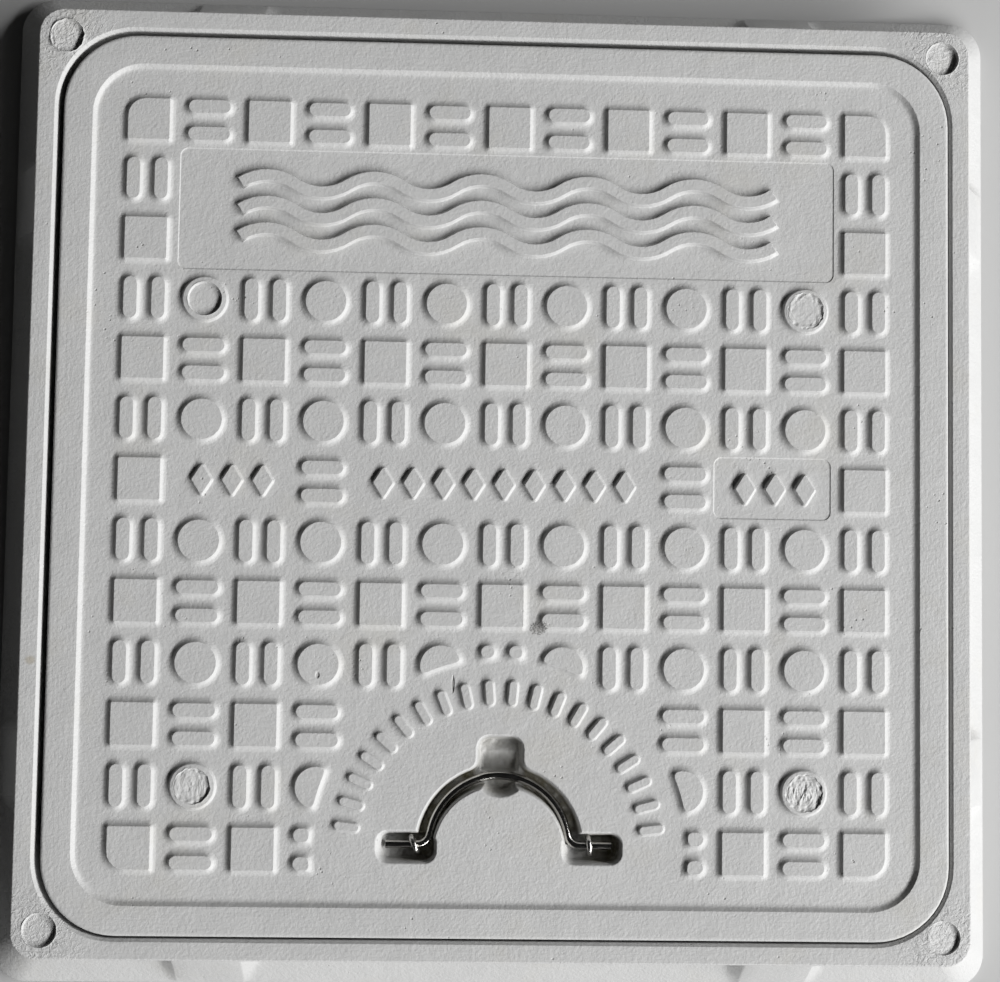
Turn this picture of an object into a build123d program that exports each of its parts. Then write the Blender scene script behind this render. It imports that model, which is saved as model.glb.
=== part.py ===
from build123d import *
import os
from math import atan, cos, degrees, radians, sin, sqrt

# ---------------------------------------------------------------- driving dimensions, mm
# Levels above the masonry that the frame stands on
frame_height = 50.0           # top of the rim, and of the cover when it is shut
seat_height = 12.0            # ledge that carries the cover
gasket_thickness = 3.0
tread_height = 2.2            # studs and border above the field
plate_thickness = 10.8        # cover plate under the field

# Frame
clear_opening = 450.0         # nominal size of the cover
socket_side = 500.5           # inside of the upright wall
socket_radius = 43.0
rim_side = 523.7              # outside of the upright wall at the top
rim_radius = 14.0
wall_spread = 2.0             # the wall is this much further out at its foot
rim_edge = 1.7                # bevel along the inner edge of the rim
rim_edge_depth = 2.0
flange_side = 559.0
flange_radius = 19.5
flange_edge = 6.0             # thickness at the outer edge
flange_root = 20.0            # thickness at the foot of the wall
opening_radius = 20.0
buttress_offset = 157.5       # two buttresses a side, each this far from the middle
buttress_top = 32.4           # length along the wall, at the top and at the foot
buttress_foot = 71.0
buttress_toe = 38.4           # length at the edge of the flange
buttress_drop = 4.0           # they stop this far below the rim
frame_mark_offset = 246.2     # ejector marks in the corners of the rim

# Cover
cover_side = 496.5
cover_rest = (1.3, -0.7)      # the loose cover lies this far off the middle of its socket
cover_radius = 41.0
skirt_wall = 10.0
border_inner = 463.4          # inner edge of the raised border, at its top
border_radius = 28.0
border_slope = 2.0            # the border's inner face runs in by this much
rib_count = 8                 # each way
rib_wall = 5.0
rib_foot = 18.0               # level of the ribs' lower edge

# Tread
pitch = 33.5
last_stud = 12                # columns and rows run from 0 to 12
stud_side = 26.4              # at the foot
stud_draft = 1.7              # each face leans in by this much
figure_draft = 1.0            # the same for the waves, lozenges and bars
stud_radius = 2.4
corner_stud_radius = 11.3
round_stud_radius = 12.9
pill_width = 10.6
pill_offset = 7.7             # from the middle of the cell
bare_radius = 102.2           # round field about the handle, free of studs
mark_radius = 9.6             # ejector marks
mark_depth = 1.6
frame_mark_depth = 2.0
panel_depth = 0.3             # plain panels let into the field
panel_radius = 4.5

# Lifting handle and its recess
rod_radius = 2.3
hinge_y = -197.9
hinge_z = 41.5
bow_radius = 38.3             # centre line of the bow
bow_centre = -0.4             # its centre, along Y from the hinge line
bend_radius = 7.0             # where the bow turns out into its feet
foot_end = 62.0
groove_outer = 45.8
groove_outer_centre = -1.6
groove_inner = 36.2
groove_inner_centre = -3.9
groove_floor = 37.5
foot_pocket = (34.4, 67.4)    # along X
foot_pocket_y = (-9.8, 7.4)   # along Y from the hinge line
foot_pocket_radius = 6.5
foot_pocket_floor = 35.0
finger_half_width = 12.6
finger_end = 59.7             # along Y from the hinge line
finger_start = 38.0
finger_heel = 37.0            # middle of the round heel under the bow
finger_heel_radius = 10.0
finger_radius = 7.0
finger_floor = 31.0
boss_y = (-214.0, -132.0)
boss_foot = 26.0

# Eye bolts
eyes = {"left": (-46.3, 25.0), "right": (49.8, 8.0)}   # place along X, and turn about its shank in degrees
eye_radius = 4.4              # middle of the ring's wire
eye_wire = 1.5
shank_radius = 2.5
shank_hole = 2.8
shank_end = 17.5
washer_radius = 6.0
washer_thickness = 1.2
nut_flats = 8.0
nut_thickness = 4.7

# ---------------------------------------------------------------- derived levels
field = frame_height - tread_height
plate_foot = field - plate_thickness
cover_foot = seat_height + gasket_thickness


def square_prism(side, radius, bottom, top):
    """Upright prism on a square with rounded corners."""
    outline = Plane.XY.offset(bottom) * RectangleRounded(side, side, radius)
    return extrude(outline, top - bottom)


def square_frustum(side_low, radius_low, side_high, radius_high, bottom, top):
    """Straight-sided solid between two rounded squares."""
    low = Plane.XY.offset(bottom) * RectangleRounded(side_low, side_low, radius_low)
    high = Plane.XY.offset(top) * RectangleRounded(side_high, side_high, radius_high)
    return loft([low, high], ruled=True)


def cell(column, row):
    """Centre of a tread cell; column 0 is at -X and row 0 at +Y."""
    middle = last_stud / 2
    return ((column - middle) * pitch, (middle - row) * pitch)


def raised(outline, foot=field, draft=stud_draft):
    """Outline raised from its foot to the top of the tread with moulding draft."""
    height = frame_height - foot
    return extrude(Plane.XY.offset(foot) * outline, height, taper=degrees(atan(draft / height)))


# ---------------------------------------------------------------- frame
def buttress():
    """One sloping buttress on the +Y side, from under the rim to the flange edge."""
    wall_y = rim_side / 2 - 2
    edge_y = flange_side / 2 - 1
    top = frame_height - buttress_drop
    at_wall = Plane(origin=(0, wall_y, 0), x_dir=(-1, 0, 0), z_dir=(0, 1, 0))
    at_edge = Plane(origin=(0, edge_y, 0), x_dir=(-1, 0, 0), z_dir=(0, 1, 0))
    half_top = buttress_top / 2
    half_foot = buttress_foot / 2
    inner = Polygon((-half_foot, 1), (half_foot, 1), (half_top, top), (-half_top, top), align=None)
    half_toe = buttress_toe / 2
    outer = Polygon(
        (-half_toe - 1, 1), (half_toe + 1, 1), (half_toe, flange_edge), (-half_toe, flange_edge), align=None
    )
    return loft([at_wall * inner, at_edge * outer], ruled=True)


def make_frame():
    base = square_prism(flange_side, flange_radius, 0, flange_edge)
    slope = square_frustum(
        flange_side, flange_radius, rim_side + 2 * wall_spread, rim_radius, flange_edge, flange_root
    )
    wall = square_frustum(
        rim_side + 2 * wall_spread, rim_radius, rim_side, rim_radius, seat_height / 2, frame_height
    )
    body = base + slope + wall
    for quarter in range(4):
        for side in (-1, 1):
            body += Rot(0, 0, 90 * quarter) * (Pos(side * buttress_offset, 0, 0) * buttress())
    body -= square_prism(socket_side, socket_radius, seat_height, frame_height + 1)
    body -= square_frustum(
        socket_side, socket_radius, socket_side + 2 * rim_edge, socket_radius + rim_edge,
        frame_height - rim_edge_depth, frame_height,
    )
    body -= square_prism(clear_opening, opening_radius, -1, seat_height + 1)
    for x in (-frame_mark_offset, frame_mark_offset):
        for y in (-frame_mark_offset, frame_mark_offset):
            body -= Pos(x, y, frame_height) * Cylinder(mark_radius, 2 * frame_mark_depth)
    return body


# ---------------------------------------------------------------- tread of the cover
def pill_pair(upright):
    """Two parallel pills in one cell."""
    length = stud_side
    one = SlotOverall(length, pill_width, rotation=90 if upright else 0)
    step = Pos(pill_offset, 0) if upright else Pos(0, pill_offset)
    back = Pos(-pill_offset, 0) if upright else Pos(0, -pill_offset)
    return step * one + back * one


def corner_stud(sign_x, sign_y):
    """Square stud with a large radius on the corner that points outwards."""
    half = stud_side / 2
    outer = Pos(sign_x * half, sign_y * half) * Rectangle(2 * corner_stud_radius, 2 * corner_stud_radius)
    rounded = RectangleRounded(stud_side, stud_side, corner_stud_radius)
    return (RectangleRounded(stud_side, stud_side, stud_radius) - outer) + (rounded & outer)


def stud_outline(column, row):
    """Outline of the cell's stud or studs about the cell's centre."""
    ends = (0, last_stud)
    if column in ends and row in ends:
        return corner_stud(1 if column else -1, -1 if row else 1)
    if column % 2 == 0 and row % 2 == 0:
        return RectangleRounded(stud_side, stud_side, stud_radius)
    if column % 2 == 1 and row % 2 == 1:
        return Circle(round_stud_radius)
    return pill_pair(upright=row % 2 == 1)


def is_bare(column, row):
    """Cells that the panels and the round field of the handle take up."""
    if 1 <= row <= 2 and 1 <= column <= 11:
        return True
    if row == 6 and column not in (0, 3, 9, last_stud):
        return True
    return row >= 10 and 4 <= column <= 8


def is_trimmed(column, row):
    """Cells that the edge of the handle's round field cuts through."""
    return (row == 9 and 5 <= column <= 7) or (row >= 11 and column in (3, 9))


def tread_studs():
    solids = []
    bare_field = Pos(0, cell(0, last_stud)[1]) * Circle(bare_radius)
    for row in range(last_stud + 1):
        for column in range(last_stud + 1):
            if is_bare(column, row):
                continue
            outline = Pos(*cell(column, row)) * stud_outline(column, row)
            if is_trimmed(column, row):
                outline = outline - bare_field
            for face in outline.faces():
                solids += raised(Sketch() + face).solids()
    return solids


def wave_lobe(middle, chord, turn, width, up):
    """One arc of a wavy band along X; `turn` is half the arc's angle, `up` is 1 or -1."""
    radius = chord / 2 / sin(radians(turn))
    drop = radius * cos(radians(turn))
    edges = []
    for reach in (radius + width / 2, radius - width / 2):
        arc_side = reach * sin(radians(turn))
        arc_end = up * (reach * cos(radians(turn)) - drop)
        left = (middle - arc_side, arc_end)
        right = (middle + arc_side, arc_end)
        edges.append(ThreePointArc(left, (middle, up * (reach - drop)), right))
    outer, inner = edges
    edges.append(Line(outer @ 1, inner @ 1))
    edges.append(Line(inner @ 0, outer @ 0))
    return make_face(edges)


def wave_band(y, length, lobes, turn, width):
    """Raised wavy band of equal arcs, with moulding draft on its sides."""
    chord = length / lobes
    band = Part()
    for index in range(lobes):
        middle = -length / 2 + chord * (index + 0.5)
        up = 1 if index % 2 == 0 else -1
        low = Plane((0, y, field - panel_depth)) * wave_lobe(middle, chord, turn, width, up)
        high = Plane((0, y, frame_height)) * wave_lobe(middle, chord, turn, width - 2 * figure_draft, up)
        band += loft([low, high], ruled=True)
    return band.solids()


def panel(first_column, last_column, first_row, last_row):
    """Shallow plain panel, to be cut into the field between two cell positions."""
    left, upper = cell(first_column, first_row)
    right, lower = cell(last_column, last_row)
    outline = RectangleRounded(right - left, upper - lower, panel_radius)
    middle = ((left + right) / 2, (upper + lower) / 2)
    return extrude(Plane.XY.offset(field - panel_depth) * (Pos(*middle) * outline), 2 * panel_depth)


def decoration():
    """Plain raised figures: waves, a row of lozenges and a ring of bars about the handle."""
    solids = []
    middle_y = cell(0, 1.48)[1]
    for step in (-1, 0, 1):
        solids += wave_band(middle_y + 15.0 * step, length=300.0, lobes=10, turn=34.0, width=8.0)
    half_width, half_height = 6.5, 10.5
    lozenge = Polygon(
        (-half_width, 0), (0, -half_height), (half_width, 0), (0, half_height), align=None
    )
    for first, count in ((1.02, 3), (4.0, 9), (10.0, 3)):
        for index in range(count):
            place = Pos(*cell(first + 0.5 * index, 6))
            solids += raised(place * lozenge, field - panel_depth, figure_draft).solids()
    bars = 20
    for index in range(bars):
        angle = 7.0 + (180.0 - 2 * 7.0) * index / (bars - 1)
        bar = Rot(0, 0, angle) * (Pos(84.0, 0) * SlotOverall(15.0, 6.0))
        solids += raised(Pos(0, cell(0, 11.93)[1]) * bar, draft=figure_draft).solids()
    return solids


# ---------------------------------------------------------------- handle recess
def hinge_plane(level):
    return Plane(origin=(0, hinge_y, level))


def handle_recess():
    """Everything cut out of the cover's top for the handle."""
    above = frame_height + 1
    groove = Pos(0, groove_outer_centre) * Circle(groove_outer)
    groove -= Pos(0, groove_inner_centre) * Circle(groove_inner)
    reach = 2 * groove_outer
    groove &= Pos(0, reach / 2) * Rectangle(2 * reach, reach)
    cut = extrude(hinge_plane(groove_floor) * groove, above - groove_floor)

    x_low, x_high = foot_pocket
    y_low, y_high = foot_pocket_y
    pocket = RectangleRounded(x_high - x_low, y_high - y_low, foot_pocket_radius)
    for side in (-1, 1):
        placed = Pos(side * (x_low + x_high) / 2, (y_low + y_high) / 2) * pocket
        cut += extrude(hinge_plane(foot_pocket_floor) * placed, above - foot_pocket_floor)

    slot = Pos(0, (finger_end + finger_start) / 2) * RectangleRounded(
        2 * finger_half_width, finger_end - finger_start, finger_radius
    )
    slot += Pos(0, finger_heel) * Circle(finger_heel_radius)
    slot += Pos(0, finger_start + 4) * Rectangle(2 * finger_half_width, 8)
    cut += extrude(hinge_plane(finger_floor) * slot, above - finger_floor)
    return cut


# ---------------------------------------------------------------- cover
def make_cover():
    body = square_prism(cover_side, cover_radius, cover_foot, field)
    border = square_prism(cover_side, cover_radius, field, frame_height)
    border -= square_frustum(
        border_inner - 2 * border_slope, border_radius - border_slope, border_inner, border_radius,
        field, frame_height,
    )
    inside = cover_side - 2 * skirt_wall
    body -= square_prism(inside, cover_radius - skirt_wall, cover_foot - 1, plate_foot)
    spacing = inside / (rib_count + 1)
    rib_middle = (rib_foot + plate_foot) / 2
    ribs = []
    for index in range(1, rib_count + 1):
        place = -inside / 2 + spacing * index
        span = inside + 2
        ribs.append(Pos(place, 0, rib_middle) * Box(rib_wall, span, plate_foot - rib_foot))
        ribs.append(Pos(0, place, rib_middle) * Box(span, rib_wall, plate_foot - rib_foot))
    boss_length = boss_y[1] - boss_y[0]
    boss = Pos(0, (boss_y[0] + boss_y[1]) / 2, (boss_foot + plate_foot) / 2) * Box(
        3 * spacing, boss_length, plate_foot - boss_foot
    )
    body = body + [border, boss] + ribs
    body -= panel(0.53, 11.48, 0.46, 2.5)
    body -= panel(9.48, 11.44, 5.47, 6.5)
    body = body + tread_studs() + decoration()
    body -= handle_recess()
    for eye_x, _ in eyes.values():
        body -= Pos(eye_x, hinge_y, boss_foot) * Cylinder(shank_hole, 30)
    for column, row in ((1, 3), (11, 3), (1, 11), (11, 11)):
        body -= Pos(*cell(column, row), frame_height) * Cylinder(mark_radius, 2 * mark_depth)
    return body


def make_gasket():
    outer = square_prism(cover_side - 6, cover_radius - 3, seat_height, cover_foot)
    return outer - square_prism(cover_side - 34, cover_radius - 17, seat_height - 1, cover_foot + 1)


# ---------------------------------------------------------------- handle and eye bolts
def make_handle():
    """Bow of round bar whose ends turn outwards into two feet on the hinge line."""
    reach = bow_radius + bend_radius
    bend_x = sqrt(reach**2 - (bend_radius - bow_centre) ** 2)
    lean_x = bend_x / reach
    lean_y = (bend_radius - bow_centre) / reach
    meet_x = bow_radius * lean_x
    meet_y = bow_centre + bow_radius * lean_y
    top_y = bow_centre + bow_radius
    # the middle of each bend lies on the line that halves its corner
    half = sqrt((lean_x**2 + (1 + lean_y) ** 2))
    middle_x = bend_x - bend_radius * lean_x / half
    middle_y = bend_radius - bend_radius * (1 + lean_y) / half
    with BuildLine() as line:
        Line((-foot_end, 0), (-bend_x, 0))
        ThreePointArc((-bend_x, 0), (-middle_x, middle_y), (-meet_x, meet_y))
        ThreePointArc((-meet_x, meet_y), (0, top_y), (meet_x, meet_y))
        ThreePointArc((meet_x, meet_y), (middle_x, middle_y), (bend_x, 0))
        Line((bend_x, 0), (foot_end, 0))
    path = hinge_plane(hinge_z) * line.wire()
    section = Plane(origin=(-foot_end, hinge_y, hinge_z), z_dir=(1, 0, 0)) * Circle(rod_radius)
    return sweep(section, path)


def make_eye_bolt(eye_x, turn):
    ring = Pos(eye_x, hinge_y, hinge_z) * (Rot(0, 0, turn) * (Rot(0, 90, 0) * Torus(eye_radius, eye_wire)))
    top = hinge_z - eye_radius
    shank = Pos(eye_x, hinge_y, (top + shank_end) / 2) * Cylinder(shank_radius, top - shank_end)
    return ring + shank


def make_washer(eye_x):
    middle = boss_foot - washer_thickness / 2
    ring = Cylinder(washer_radius, washer_thickness) - Cylinder(shank_hole, washer_thickness)
    return Pos(eye_x, hinge_y, middle) * ring


def make_nut(eye_x):
    top = boss_foot - washer_thickness
    outline = RegularPolygon(nut_flats / 2, 6, major_radius=False) - Circle(shank_radius)
    return extrude(Plane(origin=(eye_x, hinge_y, top - nut_thickness)) * outline, nut_thickness)


# ---------------------------------------------------------------- write the pieces
loose = Pos(*cover_rest)
pieces = {
    "frame": make_frame(),
    "seat_gasket": make_gasket(),
    "cover": loose * make_cover(),
    "lift_handle": loose * make_handle(),
}
for side_name, (place, turn) in eyes.items():
    pieces["eye_bolt_" + side_name] = loose * make_eye_bolt(place, turn)
    pieces["eye_washer_" + side_name] = loose * make_washer(place)
    pieces["eye_nut_" + side_name] = loose * make_nut(place)

os.makedirs("parts", exist_ok=True)
for name, shape in pieces.items():
    export_step(shape, "parts/" + name + ".step")
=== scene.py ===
import math

import bpy
import numpy as np
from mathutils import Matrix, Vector, noise
from mathutils.geometry import delaunay_2d_cdt


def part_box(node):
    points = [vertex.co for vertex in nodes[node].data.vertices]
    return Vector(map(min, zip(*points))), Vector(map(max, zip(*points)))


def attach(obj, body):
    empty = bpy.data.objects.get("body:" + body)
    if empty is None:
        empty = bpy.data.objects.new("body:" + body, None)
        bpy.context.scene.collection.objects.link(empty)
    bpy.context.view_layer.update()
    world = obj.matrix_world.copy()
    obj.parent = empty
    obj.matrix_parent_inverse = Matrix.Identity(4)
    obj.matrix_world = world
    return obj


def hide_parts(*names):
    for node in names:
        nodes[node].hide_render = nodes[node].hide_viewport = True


# ---------------------------------------------------------------- sizes, mm
MM = 0.001

TOP = 50.0                    # rim of the frame, border and studs of the cover
TREAD = 2.2                   # studs and border above the field
FIELD = TOP - TREAD
PLATE_FOOT = 37.0             # underside of the cover's plate, between the ribs
RIB_FOOT = 18.0
COVER_FOOT = 15.0             # foot of the cover's skirt
SKIRT_INSIDE = 238.25         # half the width inside the skirt

# cells of the tread and the studs in them
PITCH = 33.5
MIDDLE = 6                    # column and row in the middle of the cover
LAST = 12                     # columns and rows run from 0 to 12
STUD_SIDE = 26.4
STUD_RADIUS = 2.4
CORNER_STUD_RADIUS = 11.3
ROUND_RADIUS = 12.9
PILL_WIDTH = 10.6
PILL_OFFSET = 7.7
STUD_SHIFT = 0.06             # most that a stud is off its place, its size and its level
STUD_GROWTH = 0.07
STUD_LEVEL = (-0.06, 0.05)

# round field without studs about the handle, and how round it leaves the corners of the studs that it cuts
BARE_RADIUS = 102.2
BARE_OFFSET = 1.7             # its centre, towards +Y from the middle cell of the last row
TRIM_ROUNDING = 3.4
MIDDLE_TRIM_ROUNDING = 4.2

# sunk panels: first and last column and first and last row that their edges reach to
WIDE_PANEL = (0.53, 11.48, 0.46, 2.5)
SMALL_PANEL = (9.48, 11.44, 5.47, 6.5)
PANEL_DEPTH = 0.45
PANEL_RADIUS = 4.5

# plain raised figures
WAVE_ROW = 1.48
WAVE_STEP = 15.0              # from one wave to the next
WAVE_LENGTH = 300.0
WAVE_LOBES = 10
WAVE_TURN = math.radians(34)  # half the angle of each of its arcs
WAVE_WIDTH = 8.0
LOZENGE_HALF = (6.5, 10.5)
LOZENGE_RADIUS = 1.7
BARS = 20
BAR_ROW = 11.93               # centre of the half ring of bars
BAR_REACH = 84.0              # from that centre
BAR_MARGIN = 7.0              # degrees, from the ends of the half ring
BAR_LENGTH = 15.0
BAR_WIDTH = 6.0

# recess of the handle, about the middle of its hinge
HINGE_Y = -197.9
RECESS_HALF = 71.0            # its mesh reaches this far along X, and between these along Y
RECESS_ALONG = (-13.0, 63.0)
RECESS_LIP = 0.35             # how far its walls begin outside its outline
GRID = 0.55                   # spacing of its points

BUTTRESS = 157.5              # distance of each buttress from the middle of its side
BUTTRESS_HALF_TOP = 18.4
BUTTRESS_HALF_FOOT = 27.8

# Round ejector marks: depth in the middle, extra depth towards +X, height of the creases in the middle of
# the floor and at its edge, how much longer the creases are along Y, height of the lip of flash, and radius
STUD_MARKS = {
    (1, 3): (1.60, 0.10, 0.03, 0.06, 1.0, 0.24, 9.4),
    (11, 3): (0.38, 0.45, 0.10, 0.75, 1.0, 0.16, 10.3),
    (1, 11): (0.65, 0.60, 0.28, 0.80, 2.8, 0.26, 9.8),
    (11, 11): (0.70, 0.45, 0.70, 0.85, 2.4, 0.10, 10.5),
}
FRAME_MARKS = {
    (-1, 1): (0.85, 0.80, 0.20, 0.60, 0.6, 0.75, 9.3),
    (1, 1): (1.70, 1.35, 0.14, 0.22, 1.0, 0.26, 9.3),
    (-1, -1): (1.80, 0.15, 0.05, 0.10, 1.0, 0.22, 9.3),
    (1, -1): (0.90, 1.10, 0.12, 0.22, 1.4, 0.10, 9.3),
}
FRAME_MARK = 246.2            # from the middle of the frame, along X and along Y
MARK_LIP = 0.65               # width of the lip
MARK_RAGGED = 0.11            # how ragged a mark's edge is where its floor is creased

# blemishes of the mouldings: middle, and reach along X and Y
TEAR = (21.5, -79.5, 5.5, 4.5)
CRACK = (-25.3, -110.9, 1.0, 5.2)
DENT = (-99.5, -107.0, 1.3, 2.0)
PITTED = ((-190.0, 238.0, 9.0, 3.5), (-136.0, 237.0, 12.0, 3.0), (-165.0, 240.5, 30.0, 2.5))
STAIN = (-255.5, -101.0, 3.6, 3.0)

# inset from the foot outline and height of each row of points up a stud
STUD_PROFILE = (
    (-1.85, 0.0), (-1.40, 0.08), (-0.95, 0.18), (-0.50, 0.32), (-0.10, 0.47), (0.20, 0.63), (0.55, 0.88),
    (0.90, 1.21), (1.25, 1.68), (1.50, 2.03), (1.64, 2.15), (1.85, TREAD),
)
# the same for the waves, lozenges, bars and studs with a mark
FIGURE_PROFILE = (
    (-0.60, 0.0), (-0.20, 0.08), (0.05, 0.35), (0.50, 1.55), (0.68, 1.95), (0.92, 2.14), (1.20, TREAD),
)

# half side, corner radius and level of each ring of the cover's outside, from under the skirt to the field
COVER_SECTION = (
    (SKIRT_INSIDE, 31.0, RIB_FOOT), (SKIRT_INSIDE, 31.0, 15.6), (238.85, 31.6, COVER_FOOT),
    (247.45, 40.2, COVER_FOOT), (248.15, 40.9, 15.7), (248.25, 41.0, 30.0), (248.25, 41.0, 48.5),
    (248.12, 40.87, 49.1), (247.8, 40.55, 49.6), (247.3, 40.05, 49.88), (246.6, 39.35, 49.98),
    (245.9, 38.65, TOP), (240.0, 33.0, TOP), (232.3, 28.6, TOP), (231.95, 28.25, 49.82),
    (231.3, 27.6, 49.22), (230.6, 26.9, 48.62), (230.0, 26.3, 48.16), (229.5, 25.8, 47.96),
    (228.8, 25.1, 47.86), (227.8, 24.1, FIELD),
)

rng = np.random.default_rng(7)


# ---------------------------------------------------------------- mesh building
class Shell:
    """Points and faces of one moulding, in mm about its own centre; rings run anticlockwise."""

    def __init__(self):
        self.points = []
        self.faces = []
        # share of dirt and painted shade at the points of the handle's recess
        self.dirt_and_shade = {}

    def ring(self, outline, level):
        first = len(self.points)
        levels = np.broadcast_to(level, len(outline))
        self.points += [(x, y, z) for (x, y), z in zip(outline, levels)]
        return list(range(first, len(self.points)))

    def bridge(self, a, b):
        """Quads from ring a to ring b, facing out going up, up going in, and in going down."""
        count = len(a)
        for i in range(count):
            j = (i + 1) % count
            self.faces.append((a[i], a[j], b[j], b[i]))

    def chain(self, rings):
        for a, b in zip(rings, rings[1:]):
            self.bridge(a, b)

    def cap(self, ring, down=False):
        self.faces.append(tuple(reversed(ring)) if down else tuple(ring))

    def fill(self, outer, holes=(), down=False):
        """Triangles between an outer ring and the rings of the holes in it."""
        loops = [list(outer)] + [list(hole) for hole in holes]
        index = [i for loop in loops for i in loop]
        owner = [k for k, loop in enumerate(loops) for _ in loop]
        flat = [Vector(self.points[i][:2]) for i in index]
        edges = []
        first = 0
        for loop in loops:
            count = len(loop)
            edges += [(first + k, first + (k + 1) % count) for k in range(count)]
            first += count
        outlines = [np.array([self.points[i][:2] for i in loop]) for loop in loops]
        triangles = delaunay_2d_cdt(flat, edges, [], 0, 1e-7, False)[2]
        for triangle in triangles:
            owners = {owner[t] for t in triangle}
            if len(owners) == 1:
                k = owners.pop()
                middle = sum((flat[t] for t in triangle), Vector((0, 0))) / 3
                if inside(outlines[k], middle) != (k == 0):
                    continue
            face = tuple(index[t] for t in triangle)
            self.faces.append(face[::-1] if down else face)

    def build(self, name, centre):
        """Mesh object in metres, shaded smooth with normals that follow the larger faces."""
        points = np.array(self.points, float)
        normals = weighted_normals(points, self.faces)
        mesh = bpy.data.meshes.new(name)
        placed = (points + np.array([centre[0], centre[1], 0.0])) * MM
        mesh.from_pydata(placed.tolist(), [], self.faces, shade_flat=False)
        mesh.normals_split_custom_set_from_vertices(normals.tolist())
        # darkening of the handle's recess, dirt and painted shade, kept as a point attribute
        if self.dirt_and_shade:
            dirt_and_shade = np.zeros(len(points))
            dirt_and_shade[list(self.dirt_and_shade)] = list(self.dirt_and_shade.values())
            mesh.attributes.new("dirt_and_shade", "FLOAT", "POINT").data.foreach_set("value", dirt_and_shade)
        mesh.update()
        piece = bpy.data.objects.new(name, mesh)
        bpy.context.scene.collection.objects.link(piece)
        return piece


def weighted_normals(points, faces):
    """Normal of each point, as the sum of its faces' normals times their areas."""
    normals = np.zeros_like(points)
    by_count = {}
    for face in faces:
        by_count.setdefault(len(face), []).append(face)
    for group in by_count.values():
        group = np.array(group)
        corners = points[group]
        area = np.cross(corners, np.roll(corners, -1, axis=1)).sum(axis=1) / 2
        for k in range(group.shape[1]):
            np.add.at(normals, group[:, k], area)
    length = np.linalg.norm(normals, axis=1, keepdims=True)
    return normals / np.maximum(length, 1e-12)


def inside(outline, point):
    """True where the point is inside the closed outline."""
    x, y = point
    a, b = outline, np.roll(outline, -1, axis=0)
    spans = (a[:, 1] > y) != (b[:, 1] > y)
    rise = np.where(spans, b[:, 1] - a[:, 1], 1.0)
    cross = a[:, 0] + (y - a[:, 1]) / rise * (b[:, 0] - a[:, 0])
    return bool((spans & (x < cross)).sum() % 2)


# ---------------------------------------------------------------- outlines
def turned(outline, angle):
    """The outline turned anticlockwise about the origin."""
    c, s = math.cos(angle), math.sin(angle)
    return np.asarray(outline) @ np.array([[c, s], [-s, c]])


def circle(radius, count=64):
    angle = np.arange(count) * 2 * math.pi / count
    return radius * np.stack([np.cos(angle), np.sin(angle)], axis=1)


def pill(length, width, angle=0.0, steps=8):
    """Bar with round ends, along X before it is turned."""
    reach = (length - width) / 2
    ends = []
    for side in (0, 1):
        turn = np.linspace(-math.pi / 2, math.pi / 2, steps + 1) + side * math.pi
        ends.append(np.stack([np.cos(turn), np.sin(turn)], axis=1) * width / 2)
        ends[-1][:, 0] += reach if side == 0 else -reach
    return turned(np.concatenate(ends), angle)


def rounded(corners, radii, steps=5):
    """Polygon with an arc at each of its corners."""
    corners = np.asarray(corners, float)
    outline = []
    for k, radius in enumerate(radii):
        corner = corners[k]
        back = corners[k - 1] - corner
        on = corners[(k + 1) % len(corners)] - corner
        back, on = back / np.linalg.norm(back), on / np.linalg.norm(on)
        half = math.acos(float(np.clip(back @ on, -1, 1))) / 2
        axis = (back + on) / np.linalg.norm(back + on)
        middle = corner + axis * radius / math.sin(half)
        start = math.atan2(*(corner + back * radius / math.tan(half) - middle)[::-1])
        sweep = math.pi - 2 * half
        for angle in np.linspace(start, start + sweep, steps + 1):
            outline.append(middle + radius * np.array([math.cos(angle), math.sin(angle)]))
    return np.array(outline)


def box_outline(half_x, half_y, radii, steps=5):
    corners = ((half_x, -half_y), (half_x, half_y), (-half_x, half_y), (-half_x, -half_y))
    return rounded(corners, radii, steps)


def inset(outline, amount):
    """The outline moved inwards along its own normals."""
    before = outline - np.roll(outline, 1, axis=0)
    after = np.roll(outline, -1, axis=0) - outline
    normals = []
    for edge in (before, after):
        edge = edge / np.maximum(np.linalg.norm(edge, axis=1, keepdims=True), 1e-9)
        normals.append(np.stack([edge[:, 1], -edge[:, 0]], axis=1))
    normal = normals[0] + normals[1]
    normal /= np.maximum(np.linalg.norm(normal, axis=1, keepdims=True), 1e-9)
    miter = np.maximum((normal * normals[0]).sum(axis=1, keepdims=True), 0.5)
    return outline - normal * amount / miter


def around(distance, centre, reach=30.0, count=64):
    """Outline about `centre` where the signed distance is zero, found along rays."""
    angle = np.arange(count) * 2 * math.pi / count
    rays = np.stack([np.cos(angle), np.sin(angle)], axis=1)
    near, far = np.zeros(count), np.full(count, reach)
    for _ in range(30):
        middle = (near + far) / 2
        within = distance(centre + rays * middle[:, None]) < 0
        near, far = np.where(within, middle, near), np.where(within, far, middle)
    return centre + rays * near[:, None]


def box_distance(p, centre, half, radius):
    """Signed distance to a box with rounded corners."""
    q = np.abs(p - np.asarray(centre)) - np.asarray(half) + radius
    outside = np.linalg.norm(np.maximum(q, 0), axis=-1)
    return outside + np.minimum(q.max(axis=-1), 0) - radius


def disc_distance(p, centre, radius):
    return np.linalg.norm(p - np.asarray(centre), axis=-1) - radius


PLAIN_STATIONS = np.linspace(-190, 190, 11)
CORNER_STEPS = 12


def square(half, radius, stations=PLAIN_STATIONS):
    """Rounded square with points at the same stations along every side, whatever its size."""
    side = [(half, s) for s in stations]
    reach = half - radius
    for angle in np.linspace(0, math.pi / 2, CORNER_STEPS + 1):
        side.append((reach + radius * math.cos(angle), reach + radius * math.sin(angle)))
    return np.concatenate([turned(side, quarter * math.pi / 2) for quarter in range(4)])


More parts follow.
